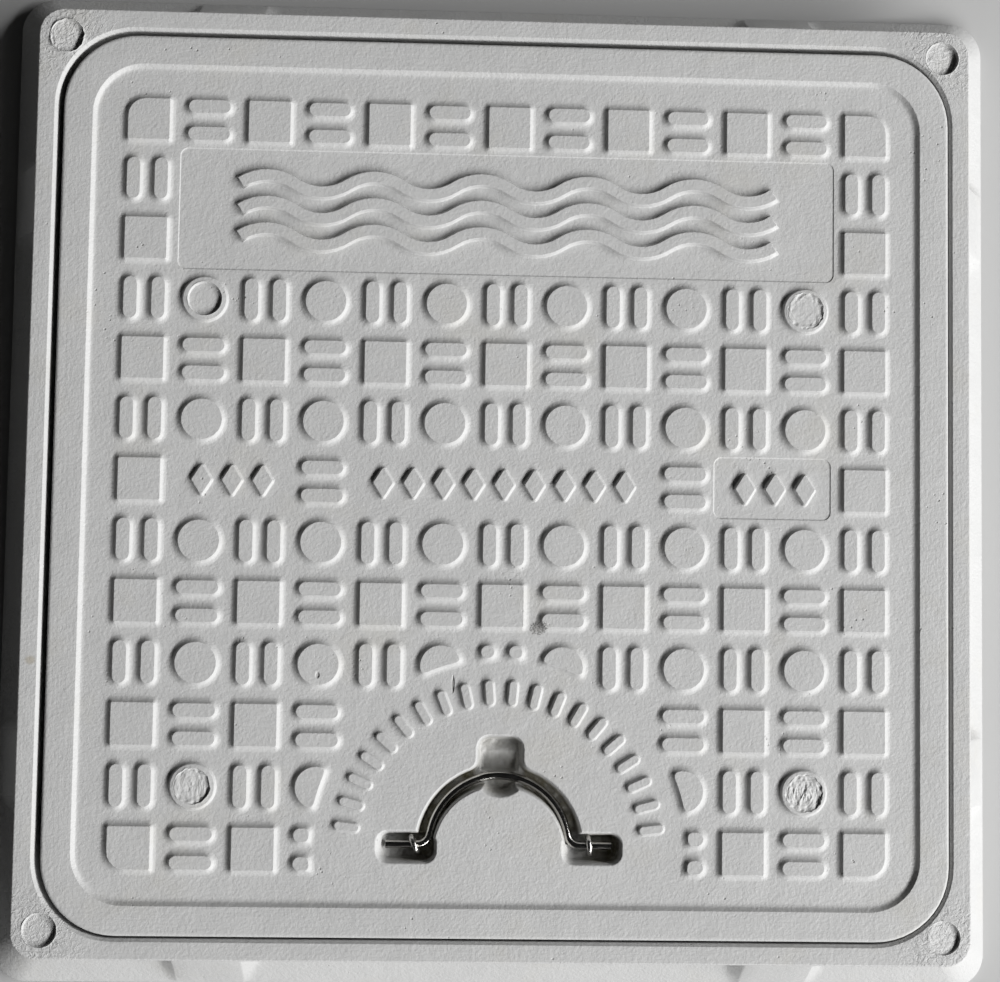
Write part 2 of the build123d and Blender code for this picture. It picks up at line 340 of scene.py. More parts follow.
# ---------------------------------------------------------------- tread
def cell(column, row):
    """Centre of a cell; columns run towards +X and rows towards -Y."""
    return np.array([(column - MIDDLE) * PITCH, (MIDDLE - row) * PITCH])


BARE_CENTRE = cell(MIDDLE, LAST) + np.array([0.0, BARE_OFFSET])


def is_bare(column, row):
    """Cells that the panels, the row of lozenges and the round field of the handle take up."""
    if 1 <= row <= 2 and 1 <= column <= 11:
        return True
    if row == MIDDLE and column not in (0, 3, 9, LAST):
        return True
    return row >= 10 and 4 <= column <= 8


def is_trimmed(column, row):
    """Cells that the edge of the handle's round field cuts through."""
    return (row == 9 and 5 <= column <= 7) or (row >= 11 and column in (3, 9))


def stud_shapes(column, row):
    """Studs of one cell: outline, offset from the cell's centre, and signed distance to the same shape."""
    half = STUD_SIDE / 2
    if column % 2 == 0 and row % 2 == 0:
        radii = [STUD_RADIUS] * 4
        corners = ((LAST, LAST), (LAST, 0), (0, 0), (0, LAST))
        if (column, row) in corners:
            radii[corners.index((column, row))] = CORNER_STUD_RADIUS
        return [(box_outline(half, half, radii), np.zeros(2), None)]
    if column % 2 == 1 and row % 2 == 1:
        count = 64 if (column, row) in STUD_MARKS else 48
        return [(circle(ROUND_RADIUS, count), np.zeros(2), lambda p: disc_distance(p, (0, 0), ROUND_RADIUS))]
    upright = row % 2 == 1
    size = np.array([PILL_WIDTH, STUD_SIDE] if upright else [STUD_SIDE, PILL_WIDTH]) / 2
    shapes = []
    for side in (-1, 1):
        offset = np.array([side * PILL_OFFSET, 0] if upright else [0, side * PILL_OFFSET])
        outline = pill(STUD_SIDE, PILL_WIDTH, math.pi / 2 if upright else 0.0) + offset

        def distance(p, offset=offset):
            return box_distance(p, offset, size, PILL_WIDTH / 2)

        shapes.append((outline, offset, distance))
    return shapes


def smooth_max(a, b, reach):
    """Larger of two signed distances, with their corner rounded."""
    share = np.clip(0.5 + 0.5 * (a - b) / reach, 0, 1)
    return a * share + b * (1 - share) + reach * share * (1 - share)


def trimmed(centre, offset, distance, rounding):
    """Outline, by inset, of what the handle's round field leaves of a stud."""
    away = centre + offset - BARE_CENTRE
    reach = np.linalg.norm(away)
    within = BARE_CENTRE + away / reach * (BARE_RADIUS + reach + STUD_SIDE / 2) / 2

    def left(p):
        bare = BARE_RADIUS - np.linalg.norm(p - BARE_CENTRE, axis=-1)
        return smooth_max(distance(p - centre), bare, rounding)

    return lambda amount: around(lambda p: left(p) + amount, within)


def raise_outline(shell, outline_at, foot, closed=True, level=0.0, profile=STUD_PROFILE):
    """Raises an outline from its foot to the top of the tread; gives its first and last rings."""
    stretch = (TOP + level - foot) / TREAD
    rings = [shell.ring(outline_at(amount), foot + rise * stretch) for amount, rise in profile]
    shell.chain(rings)
    if closed:
        shell.cap(rings[-1])
    return rings[0], rings[-1]


def creases(x, y, seed, stretch):
    """Height of the creases in torn moulding skin, about -1 to 1."""
    total = 0.0
    for octave, share in ((0.30, 0.55), (0.75, 0.40), (1.7, 0.22)):
        place = Vector((x * octave, y * octave / stretch, seed * 7.3 + octave))
        total += share * (1.0 - 3.2 * abs(noise.noise(place)))
    return total


def add_mark(shell, top_ring, centre, level, look, seed):
    """Round ejector mark sunk into a flat top, with a lip of flash and a creased floor."""
    depth, lean, wear, edge_wear, stretch, lip, reach = look
    count = len(top_ring)

    def ring(radius, share, rise=0.0):
        """Ring of the mark; share is how far down to the floor it lies, rise how far up the lip."""
        outline, levels = [], []
        for x, y in circle(radius, count):
            torn = noise.noise(Vector((x * 0.45, y * 0.45, seed + 4.0)))
            ragged = 1.0 + MARK_RAGGED * edge_wear * torn
            x, y = x * ragged, y * ragged
            outwards = min(1.0, max(0.0, (radius - 0.62 * reach) / (0.3 * reach)))
            crease = wear + (edge_wear - wear) * outwards
            floor = depth + lean * x / reach - crease * creases(x, y, seed, stretch)
            uneven = noise.noise(Vector((x * 0.16, y * 0.16, seed + 9.0)))
            flash = lip * rise * max(0.25, 1.0 + 1.2 * uneven)
            outline.append((x + centre[0], y + centre[1]))
            levels.append(level + flash - share * max(floor, -0.35))
        return shell.ring(outline, np.array(levels))

    up_the_lip = ((MARK_LIP - 0.15, 0.3), (0.25, 1.0), (0.05, 0.9))
    down_the_wall = ((-0.1, 0.15), (-0.35, 0.75), (-0.55, 0.96))
    rings = [top_ring]
    rings += [ring(reach + out, 0.0, rise) for out, rise in up_the_lip]
    rings += [ring(reach + out, share) for out, share in down_the_wall]
    rings += [ring(radius, 1.0) for radius in np.linspace(reach - 0.8, 0.5, 26)]
    shell.chain(rings)
    shell.cap(rings[-1])


def tread_studs(shell):
    """All studs; gives the rings at their feet."""
    feet = []
    for row in range(LAST + 1):
        for column in range(LAST + 1):
            if is_bare(column, row):
                continue
            centre = cell(column, row)
            for outline, offset, distance in stud_shapes(column, row):
                shift = centre + rng.uniform(-STUD_SHIFT, STUD_SHIFT, 2)
                growth = rng.uniform(-STUD_GROWTH, STUD_GROWTH)
                level = rng.uniform(*STUD_LEVEL)
                look = STUD_MARKS.get((column, row))
                if is_trimmed(column, row):
                    rounding = MIDDLE_TRIM_ROUNDING if column == MIDDLE else TRIM_ROUNDING
                    outline_at = trimmed(centre, offset, distance, rounding)
                else:
                    def outline_at(amount, outline=outline + shift, growth=growth):
                        return inset(outline, amount + growth)
                profile = STUD_PROFILE if look is None else FIGURE_PROFILE
                foot, top = raise_outline(shell, outline_at, FIELD, look is None, level, profile)
                feet.append(foot)
                if look is not None:
                    add_mark(shell, top, centre, TOP + level, look, seed=column + 20 * row)
    return feet


def wave_outline(y, length, width):
    """Wavy band of equal arcs along X, closed at both ends."""
    chord = length / WAVE_LOBES
    radius = chord / 2 / math.sin(WAVE_TURN)
    drop = radius * math.cos(WAVE_TURN)
    line, normal = [], []
    for index in range(WAVE_LOBES):
        middle = -length / 2 + chord * (index + 0.5)
        up = 1 if index % 2 == 0 else -1
        for angle in np.linspace(-WAVE_TURN, WAVE_TURN, 9)[(1 if index else 0):]:
            line.append((middle + radius * math.sin(angle), y + up * (radius * math.cos(angle) - drop)))
            normal.append((math.sin(angle) * up, math.cos(angle)))
    line, normal = np.array(line), np.array(normal)
    normal /= np.linalg.norm(normal, axis=1, keepdims=True)
    upper = line + normal * width / 2
    lower = line - normal * width / 2
    return np.concatenate([lower, upper[::-1]])


def raise_wave(shell, y, foot):
    def outline_at(amount):
        return wave_outline(y, WAVE_LENGTH - 2 * amount, WAVE_WIDTH - 2 * amount)

    return raise_outline(shell, outline_at, foot, profile=FIGURE_PROFILE)[0]


def raise_waves(shell, foot):
    middle = cell(0, WAVE_ROW)[1]
    return [raise_wave(shell, middle + step * WAVE_STEP, foot) for step in (-1, 0, 1)]


def raise_figure(shell, outline, foot):
    """Raises a lozenge or bar; gives the ring at its foot."""
    return raise_outline(shell, lambda amount: inset(outline, amount), foot, profile=FIGURE_PROFILE)[0]


def raise_lozenges(shell, first, count, foot):
    """Lozenges along the middle row, half a cell apart, from column `first` on."""
    half_width, half_height = LOZENGE_HALF
    corners = ((half_width, 0), (0, half_height), (-half_width, 0), (0, -half_height))
    outline = rounded(corners, [LOZENGE_RADIUS] * 4, steps=4)
    return [raise_figure(shell, outline + cell(first + 0.5 * index, MIDDLE), foot) for index in range(count)]


def raise_bars(shell):
    """Half ring of short bars about the handle."""
    centre = cell(MIDDLE, BAR_ROW)
    bar = pill(BAR_LENGTH, BAR_WIDTH) + np.array([BAR_REACH, 0.0])
    step = (180.0 - 2 * BAR_MARGIN) / (BARS - 1)
    angles = [math.radians(BAR_MARGIN + step * index) for index in range(BARS)]
    return [raise_figure(shell, turned(bar, angle) + centre, FIELD) for angle in angles]


def sink_panel(shell, panel, raise_figures):
    """Shallow plain panel with raised figures on its floor; gives its ring at the level of the field."""
    first_column, last_column, first_row, last_row = panel
    low = cell(first_column, last_row)
    high = cell(last_column, first_row)
    half = (high - low) / 2
    outline = box_outline(half[0], half[1], [PANEL_RADIUS] * 4, steps=6) + (low + high) / 2
    floor = FIELD - PANEL_DEPTH
    section = ((-0.15, FIELD), (0.05, FIELD - 0.08), (0.25, floor + 0.08), (0.6, floor))
    rings = [shell.ring(inset(outline, amount), level) for amount, level in section]
    shell.chain(rings)
    shell.fill(rings[-1], raise_figures(floor))
    return rings[0]


# ---------------------------------------------------------------- recess of the handle
POCKET_X = 50.9               # middle and half length of the pocket for each foot of the handle
POCKET_HALF = 16.5


def fade(value, start, end):
    """Smooth step from 0 where the value is at `start` to 1 at `end`."""
    t = np.clip((value - start) / (end - start), 0, 1)
    return t * t * (3 - 2 * t)


def slot_distance(p):
    """Signed distance to the slot for the fingers; this and those below are about the hinge's middle."""
    body = box_distance(p, centre=(0, 48.85), half=(12.6, 10.85), radius=7.0)
    neck = box_distance(p, centre=(0, 42.0), half=(12.6, 4.0), radius=0.5)
    return np.minimum(body, neck)


def heel_distance(p):
    """Oval on the other side of the bow."""
    across, along, middle = 12.8, 10.0, 36.3
    return (np.linalg.norm((p - np.array([0, middle])) / (across, along), axis=-1) - 1) * along


def groove_distance(p):
    """Groove of the bow, with rounded corners where the finger slot opens into it."""
    outer = disc_distance(p, centre=(0, -1.6), radius=45.8)
    inner = -disc_distance(p, centre=(0, -3.9), radius=36.2)
    groove = np.maximum(np.maximum(outer, inner), -p[..., 1])
    corner_rounding = 5.0
    return -smooth_max(-groove, -slot_distance(p), corner_rounding)


def pocket_distance(p):
    """The two pockets for the feet of the handle."""
    folded = np.stack([np.abs(p[..., 0]), p[..., 1]], axis=-1)
    return box_distance(folded, centre=(POCKET_X, -1.2), half=(POCKET_HALF, 8.6), radius=6.5)


def from_pocket_end(p):
    """Distance from the end of the nearer pocket that faces -X."""
    x = p[..., 0]
    return x + POCKET_HALF - np.where(x > 0, POCKET_X, -POCKET_X)


def pocket_floor(p):
    """Share of the pocket's depth: its floor rises at the end towards -X."""
    return 0.2 + 0.8 * fade(from_pocket_end(p), 0.0, 8.0)


def slot_floor(p):
    """Share of the slot's depth: its floor rises away from the bow."""
    return 0.42 + 0.58 * fade(p[..., 1], 60.0, 43.0)


# signed distance, depth, how far the wall runs in, and share of the depth where the floor isn't level
RECESS = (
    (groove_distance, 10.3, 1.8, None), (pocket_distance, 12.8, 2.8, pocket_floor),
    (heel_distance, 11.5, 4.0, None), (slot_distance, 14.0, 3.6, slot_floor),
)


def recess_level(p):
    """Level of the cover's top in the recess, and the distance to its edge."""
    depth = np.zeros(p.shape[:-1])
    edge = np.full(p.shape[:-1], 1e3)
    for distance, deep, run, floor in RECESS:
        d = distance(p)
        edge = np.minimum(edge, d)
        share = floor(p) if floor else 1.0
        depth = np.maximum(depth, share * deep * fade(d, RECESS_LIP, -run))
    return FIELD - depth, edge


def recess_dirt_and_shade(p, level):
    """Share of dirt and painted shade, more the deeper the recess: most in the groove and at the right of the
    pockets, least in the finger slot.
    """
    # darker the deeper the point lies, where shade falls: painted shade as well as dirt
    deep = fade(FIELD - level, 2.0, 8.0)
    in_slot = fade(np.abs(p[..., 0]), 15.0, 12.0) * fade(p[..., 1], 24.0, 27.0)
    in_pocket = fade(pocket_distance(p), 1.0, -1.0)
    # less at the left ends of the pockets, which the light reaches
    pocket_left = 1.0 - fade(from_pocket_end(p), 5.0, 27.0)
    return deep * (1.0 - 0.6 * in_slot - 0.85 * in_pocket * pocket_left)


def lumps(x, y):
    """Unevenness of the recess's floor."""
    coarse = noise.noise(Vector((x * 0.2, y * 0.2, 3.1)))
    fine = noise.noise(Vector((x, y, 8.2)) * 0.6)
    return 0.7 * coarse + 0.3 * fine


def recess_patch(shell):
    """Mesh of the handle's recess on a square grid; gives its outer ring."""
    across = np.arange(-RECESS_HALF, RECESS_HALF + 0.01, GRID)
    along = np.arange(RECESS_ALONG[0], RECESS_ALONG[1] + 0.01, GRID)
    p = np.stack(np.meshgrid(across, along, indexing="ij"), axis=-1)
    level, edge = recess_level(p)
    dirt_and_shade = recess_dirt_and_shade(p, level)
    near = edge < 5 * GRID
    kept = near[:-1, :-1] | near[1:, :-1] | near[:-1, 1:] | near[1:, 1:]
    index = {}

    def point(i, j):
        if (i, j) not in index:
            index[i, j] = len(shell.points)
            x, y = p[i, j]
            rise = lumps(x, y) * fade(FIELD - level[i, j], 2.0, 7.0)
            shell.dirt_and_shade[index[i, j]] = dirt_and_shade[i, j]
            shell.points.append((x, y + HINGE_Y, level[i, j] + float(rise)))
        return index[i, j]

    onward = {}
    for i, j in zip(*np.nonzero(kept)):
        corners = [point(i, j), point(i + 1, j), point(i + 1, j + 1), point(i, j + 1)]
        shell.faces.append(tuple(corners))
        neighbours = ((i, j - 1), (i + 1, j), (i, j + 1), (i - 1, j))
        for k, (a, b) in enumerate(neighbours):
            within = 0 <= a < kept.shape[0] and 0 <= b < kept.shape[1]
            if not (within and kept[a, b]):
                onward[corners[k]] = corners[(k + 1) % 4]
    start, here = onward.popitem()
    loop = [start]
    while here != start:
        loop.append(here)
        here = onward.pop(here)
    return loop


# ---------------------------------------------------------------- cover
CELLS = 9                     # cells between the ribs, each way
RIB = 5.0
CELL_SIDE = 2 * SKIRT_INSIDE / CELLS
SKIRT_MARGIN = 0.8            # from the skirt to the cells beside it
CELL_RADIUS = 2.0
CORNER_CELL_RADIUS = 30.2
BOSS_FOOT = 26.0              # thick part of the plate, under the handle
BOSS_COLUMNS = (3, 4, 5)
BOSS_ROWS = (0, 1)
BOSS_EDGE_Y = -214.0          # the plate is thin again beyond it


def rib_cell(i, j):
    """Lowest and highest corner of a cell between the ribs, and its corner radii."""
    low = np.array([i, j]) * CELL_SIDE - SKIRT_INSIDE
    high = low + CELL_SIDE
    low += [RIB / 2 if k else SKIRT_MARGIN for k in (i, j)]
    high -= [RIB / 2 if k < CELLS - 1 else SKIRT_MARGIN for k in (i, j)]
    radii = [CELL_RADIUS] * 4
    end = CELLS - 1
    corners = ((end, 0), (end, end), (0, end), (0, 0))
    if (i, j) in corners:
        radii[corners.index((i, j))] = CORNER_CELL_RADIUS
    return low, high, radii


def thin_plate(shell, low, high):
    """Deeper hole in the roof of one of the boss's outer cells; gives the ring at its mouth."""
    half = np.array([(high[0] - low[0]) / 2 - 3.0, (BOSS_EDGE_Y - low[1]) / 2 - 1.5])
    middle = np.array([(low[0] + high[0]) / 2, (low[1] + BOSS_EDGE_Y) / 2 + 1.0])
    outline = box_outline(half[0], half[1], [CELL_RADIUS] * 4) + middle
    section = ((1.2, PLATE_FOOT), (0.6, PLATE_FOOT - 0.6), (0.0, BOSS_FOOT + 0.4), (-0.3, BOSS_FOOT))
    rings = [shell.ring(inset(outline, amount), level) for amount, level in section]
    shell.chain(rings)
    shell.cap(rings[0], down=True)
    return rings[-1]


def cover_underside(shell, outer):
    """Grid of ribs, with cells between them and a boss under the handle."""
    mouths = []
    for i in range(CELLS):
        for j in range(CELLS):
            on_boss = i in BOSS_COLUMNS and j in BOSS_ROWS
            roof = BOSS_FOOT if on_boss else PLATE_FOOT
            low, high, radii = rib_cell(i, j)
            half = (high - low) / 2
            outline = box_outline(half[0], half[1], radii) + (low + high) / 2
            section = (
                (1.3, roof), (0.9, roof - 0.15), (0.6, roof - 0.7), (0.1, RIB_FOOT + 0.6), (-0.3, RIB_FOOT),
            )
            rings = [shell.ring(inset(outline, amount), level) for amount, level in section]
            shell.chain(rings)
            mouths.append(rings[-1])
            if on_boss and j == 0:
                shell.fill(rings[0], [thin_plate(shell, low, high)], down=True)
            else:
                shell.cap(rings[0], down=True)
    shell.fill(outer, mouths, down=True)


def make_cover(centre):
    shell = Shell()
    rings = [shell.ring(square(half, radius), level) for half, radius, level in COVER_SECTION]
    shell.chain(rings)
    cover_underside(shell, rings[0])
    feet = tread_studs(shell)
    feet += raise_lozenges(shell, first=1.02, count=3, foot=FIELD)
    feet += raise_lozenges(shell, first=4.0, count=9, foot=FIELD)
    feet += raise_bars(shell)
    feet.append(sink_panel(shell, WIDE_PANEL, lambda floor: raise_waves(shell, floor)))
    feet.append(sink_panel(shell, SMALL_PANEL, lambda floor: raise_lozenges(shell, 10.0, 3, floor)))
    shell.fill(rings[-1], feet + [recess_patch(shell)])
    return shell.build("cover_shell", centre)


# ---------------------------------------------------------------- frame
# where each side has points: about the middle of each buttress, and between the two
HALF_OFFSETS = (9, 18.2, 19.4, 21, 23, 25, 27, 29, 31)
BUTTRESS_OFFSETS = [-q for q in reversed(HALF_OFFSETS)] + [0] + list(HALF_OFFSETS)
FRAME_STATIONS = np.array(
    [q - BUTTRESS for q in BUTTRESS_OFFSETS]
    + [-90, -45, 0, 45, 90]
    + [q + BUTTRESS for q in BUTTRESS_OFFSETS]
)
WALL_FOOT = 263.9             # half the width at the foot of the wall
FLANGE_EDGE = 279.5           # half the width of the flange
BUTTRESS_LEVELS = (20.0, 42.0)  # a buttress narrows between these levels of the wall
BUTTRESS_SLOPE = 0.6          # half the width of the step beside it

# half side, corner radius and level of each ring, from the bevel's top down the inside and round the foot
FRAME_INSIDE = (
    (252.2, 44.95, TOP), (251.8, 44.55, 49.85), (250.65, 43.4, 48.4), (250.35, 43.1, 47.8),
    (250.25, 43.0, 47.0), (250.25, 43.0, 30.0), (250.25, 43.0, 12.8), (249.95, 42.7, 12.2),
    (249.15, 41.9, 12.0), (226.2, 21.2, 12.0), (225.3, 20.3, 11.7), (225.0, 20.0, 11.0), (225.0, 20.0, 0.6),
    (225.6, 20.6, 0.0), (278.7, 18.7, 0.0), (FLANGE_EDGE, 19.5, 0.8), (FLANGE_EDGE, 19.5, 5.0),
)

# the same up the outside, with the half side and level that each ring has on a buttress
FRAME_OUTSIDE = (
    (279.3, 19.3, 5.7, 279.3, 5.8), (278.7, 19.0, 6.4, 278.8, 6.6), (277.9, 18.8, 7.2, 278.2, 7.6),
    (273.8, 17.4, 11.1, 275.2, 13.1), (269.4, 15.9, 15.0, 271.6, 20.8), (266.2, 14.8, 17.9, 268.7, 27.0),
    (264.9, 14.4, 19.2, 267.3, 30.0), (WALL_FOOT, 14.1, 20.7, 266.1, 32.6), (263.2, 14.0, 23.5, 265.0, 34.9),
    (262.7, 14.0, 31.0, 263.8, 37.5), (262.4, 14.0, 38.0, 263.0, 39.3), (262.25, 14.0, 41.2, 262.4, 41.4),
    (262.0, 14.0, 46.4, 262.0, 46.4), (261.87, 14.0, 48.7, 261.87, 48.7), (261.7, 13.85, 49.45, 261.7, 49.45),
    (261.35, 13.5, 49.87, 261.35, 49.87), (260.8, 13.0, TOP, 260.8, TOP),
)


def buttress_share(half, level):
    """Share of a buttress at each point of a ring, from 0 beside it to 1 on it."""
    if half > WALL_FOOT:
        taper = (half - WALL_FOOT) / (FLANGE_EDGE - WALL_FOOT)
    else:
        low, high = BUTTRESS_LEVELS
        taper = max(0.0, (level - low) / (high - low))
    reach = BUTTRESS_HALF_FOOT - (BUTTRESS_HALF_FOOT - BUTTRESS_HALF_TOP) * min(taper, 1.0)
    away = np.abs(np.abs(FRAME_STATIONS) - BUTTRESS)
    slope = reach - BUTTRESS_HALF_TOP + 2 * BUTTRESS_SLOPE
    along = np.clip((reach + BUTTRESS_SLOPE - away) / slope, 0, 1)
    side = np.concatenate([along, np.zeros(CORNER_STEPS + 1)])
    return np.tile(side, 4)


def outside_ring(shell, half, radius, level, buttress_half, buttress_level):
    """Ring round the frame's outside, which stands out at the buttresses."""
    share = buttress_share(half, level)
    plain = square(half, radius, FRAME_STATIONS)
    proud = square(buttress_half, radius, FRAME_STATIONS)
    outline = plain + (proud - plain) * share[:, None]
    return shell.ring(outline, level + (buttress_level - level) * share)


def make_frame():
    shell = Shell()
    rings = [shell.ring(square(half, radius, FRAME_STATIONS), level) for half, radius, level in FRAME_INSIDE]
    rings += [outside_ring(shell, *section) for section in FRAME_OUTSIDE]
    shell.chain(rings)
    marks = []
    for (side_x, side_y), look in FRAME_MARKS.items():
        centre = np.array([side_x, side_y]) * FRAME_MARK
        mouth = shell.ring(circle(look[-1] + MARK_LIP) + centre, TOP)
        add_mark(shell, mouth, centre, TOP, look, seed=side_x + 3 * side_y + 50)
        marks.append(mouth)
    shell.fill(rings[-1], [rings[0]] + marks)
    return shell.build("frame_shell", (0.0, 0.0))


# ---------------------------------------------------------------- materials
# colours of the mouldings
PALE = (0.560, 0.560, 0.555, 1)
GREY = (0.495, 0.495, 0.491, 1)
DARK_PATCH = (0.455, 0.455, 0.453, 1)
YELLOW_STAIN = (0.49, 0.46, 0.375, 1)
PIT = (0.20, 0.195, 0.18, 1)
# dark brown of the dirt in the handle's recess, also standing in for its shade: dirt and painted shade
DIRT_AND_SHADE = (0.125, 0.108, 0.056, 1)
# dark of the torn skin, also painted into the crack and the dent as painted shade
TORN_SKIN_AND_HOLLOW_SHADE = (0.12, 0.11, 0.10, 1)
SCRATCHED = (0.66, 0.66, 0.65, 1)
BROWN_STAIN = (0.36, 0.31, 0.22, 1)


class Material:
    """A node material in the making; scales are per metre, and bump distances in metres."""

    def __init__(self, name):
        self.material = bpy.data.materials.new(name)
        self.material.use_nodes = True
        self.tree = self.material.node_tree
        self.shader = self.tree.nodes["Principled BSDF"]
        self.place = self.node("TexCoord", output="Object")

    def node(self, kind, inputs=None, output=0, **settings):
        """Adds a node and gives one of its outputs; inputs are values or other outputs."""
        made = self.tree.nodes.new("ShaderNode" + kind)
        for key, value in settings.items():
            setattr(made, key, value)
        for key, value in (inputs or {}).items():
            self.set(made.inputs[key], value)
        return made.outputs[output]

    def set(self, socket, value):
        if isinstance(value, bpy.types.NodeSocket):
            self.tree.links.new(value, socket)
        else:
            socket.default_value = value

    def scaled(self, vector, scale, turn=0.0):
        """The place turned about Z and then scaled along each axis."""
        if turn:
            vector = self.node("Mapping", {"Vector": vector, "Rotation": (0, 0, turn)})
        return self.node("Mapping", {"Vector": vector, "Scale": scale})

    def noise(self, vector, scale, detail=3.0, roughness=0.5, distortion=0.0):
        return self.node("TexNoise", {
            "Vector": vector, "Scale": scale,
            "Detail": detail, "Roughness": roughness, "Distortion": distortion,
        })

    def ramp(self, value, low, high, to_low=0.0, to_high=1.0):
        return self.node("MapRange", {
            "Value": value, "From Min": low, "From Max": high, "To Min": to_low, "To Max": to_high,
        })

    def math(self, operation, a, b=0.5):
        return self.node("Math", {0: a, 1: b}, operation=operation)

    def product(self, a, b):
        return self.math("MULTIPLY", a, b)

    def larger(self, a, b):
        return self.math("MAXIMUM", a, b)

    def mix(self, factor, a, b):
        return self.node("Mix", {"Factor": factor, "A": a, "B": b}, data_type="FLOAT")

    def tint(self, factor, a, b):
        """Colour a, with b over it where the factor says so."""
        made = self.tree.nodes.new("ShaderNodeMix")
        made.data_type = "RGBA"
        factor_socket, a_socket, b_socket = made.inputs[0], made.inputs[6], made.inputs[7]
        self.set(factor_socket, factor)
        self.set(a_socket, a)
        self.set(b_socket, b)
        return made.outputs[2]

    def bump(self, height, strength, distance, onto=None):
        inputs = {"Height": height, "Strength": strength, "Distance": distance}
        if onto is not None:
            inputs["Normal"] = onto
        return self.node("Bump", inputs)

    def spot(self, x, y, reach_x, reach_y):
        """Fades from 1 in the middle of an oval to 0 at its edge; in mm, on the object."""
        oval = self.node("Mapping", {
            "Vector": self.place,
            "Scale": (1 / (reach_x * MM), 1 / (reach_y * MM), 0),
            "Location": (-x / reach_x, -y / reach_y, 0),
        })
        away = self.node("VectorMath", {0: oval}, output=1, operation="LENGTH")
        return self.ramp(away, 1.0, 0.45)

    def give(self, **inputs):
        """Sets or links the shader's inputs."""
        for key, value in inputs.items():
            self.set(self.shader.inputs[key.replace("_", " ")], value)


class Moulding(Material):
    """Glass-fibre moulding: matt off-white grey with a fine pebbled skin, faint stains and clustered pits."""

    def __init__(self, name, seed):
        super().__init__(name)
        split = self.tree.nodes.new("ShaderNodeSeparateXYZ")
        self.set(split.inputs[0], self.place)
        self.across = self.math("ABSOLUTE", split.outputs[0])
        self.along = self.math("ABSOLUTE", split.outputs[1])
        self.height = split.outputs[2]

        shifted = self.node("Mapping", {"Vector": self.place, "Location": (seed, 0.37 * seed, 0.0)})
        cloud = self.noise(shifted, 14.0, detail=4.0)
        patch = self.noise(shifted, 75.0, detail=5.0, roughness=0.62)
        pebble = self.noise(shifted, 520.0, detail=3.0, roughness=0.6)
        grain = self.noise(shifted, 1700.0, detail=2.0)
        stain = self.ramp(self.noise(shifted, 19.0, detail=5.0, roughness=0.62), 0.55, 0.75)
        pit = self.pits(shifted)

        colour = self.tint(cloud, GREY, PALE)
        colour = self.tint(self.ramp(patch, 0.35, 0.75, 0.0, 0.30), colour, DARK_PATCH)
        colour = self.tint(self.product(stain, 0.22), colour, YELLOW_STAIN)
        self.colour = self.tint(self.product(pit, 0.40), colour, PIT)

        normal = self.bump(grain, 0.5, 0.0001)
        normal = self.bump(pebble, 1.0, 0.00032, normal)
        normal = self.bump(patch, 0.8, 0.0006, normal)
        normal = self.bump(self.streaks(shifted), 0.3, 0.0003, normal)
        self.normal = self.bump(self.product(pit, -1.0), 0.8, 0.0006, normal)
        self.give(Roughness=self.ramp(pebble, 0.3, 0.7, 0.42, 0.56), Specular_IOR_Level=0.4)

    def pits(self, vector):
        """Small round pits, in clusters and crowded at a few places of the border."""
        cells = self.node("TexVoronoi", {"Vector": vector, "Scale": 240.0})
        crowd = self.ramp(self.noise(vector, 34.0, detail=2.0), 0.61, 0.74)
        for pitted in PITTED:
            crowd = self.larger(crowd, self.spot(*pitted))
        return self.product(self.ramp(cells, 0.17, 0.08), crowd)

    def streaks(self, vector):
        """Brushed lines, which run along the rim and the border and are faint on the tread."""
        sideways = self.math("GREATER_THAN", self.across, self.along)
        edge = self.ramp(self.larger(self.across, self.along), 0.229, 0.232, 0.12, 1.0)
        upright = self.noise(self.scaled(vector, (800.0, 26.0, 60.0)), 1.0)
        level = self.noise(self.scaled(vector, (26.0, 800.0, 60.0)), 1.0)
        return self.product(self.mix(sideways, level, upright), edge)


def cover_finish(name):
    """The moulding with brown dirt and painted shade in the handle's recess, and a tear, a crack and a dent
    beside it.
    """
    m = Moulding(name, seed=0.0)
    patchy = m.ramp(m.noise(m.place, 150.0, detail=5.0, roughness=0.6), 0.30, 0.66, 0.35, 0.96)
    # dirt and painted shade in the recess, from the shell's attribute, in patches
    dirt_and_shade = m.product(m.node("Attribute", output="Fac", attribute_name="dirt_and_shade"), patchy)
    colour = m.tint(dirt_and_shade, m.colour, DIRT_AND_SHADE)

    torn = m.spot(*TEAR)
    shreds = m.math("ADD", m.noise(m.place, 560.0, distortion=1.5), m.product(torn, 0.20))
    tear = m.product(m.ramp(shreds, 0.62, 0.70), m.ramp(torn, 0.05, 0.35))
    # the crack and the dent are painted darker too: painted shade in their hollows
    hollow = m.larger(m.spot(*CRACK), m.product(m.spot(*DENT), 0.5))
    colour = m.tint(m.product(m.larger(tear, hollow), 0.4), colour, TORN_SKIN_AND_HOLLOW_SHADE)
    normal = m.bump(m.product(hollow, -1.0), 1.0, 0.0012, m.normal)
    m.give(Base_Color=colour, Normal=m.bump(tear, 1.0, 0.0014, normal))
    return m.material


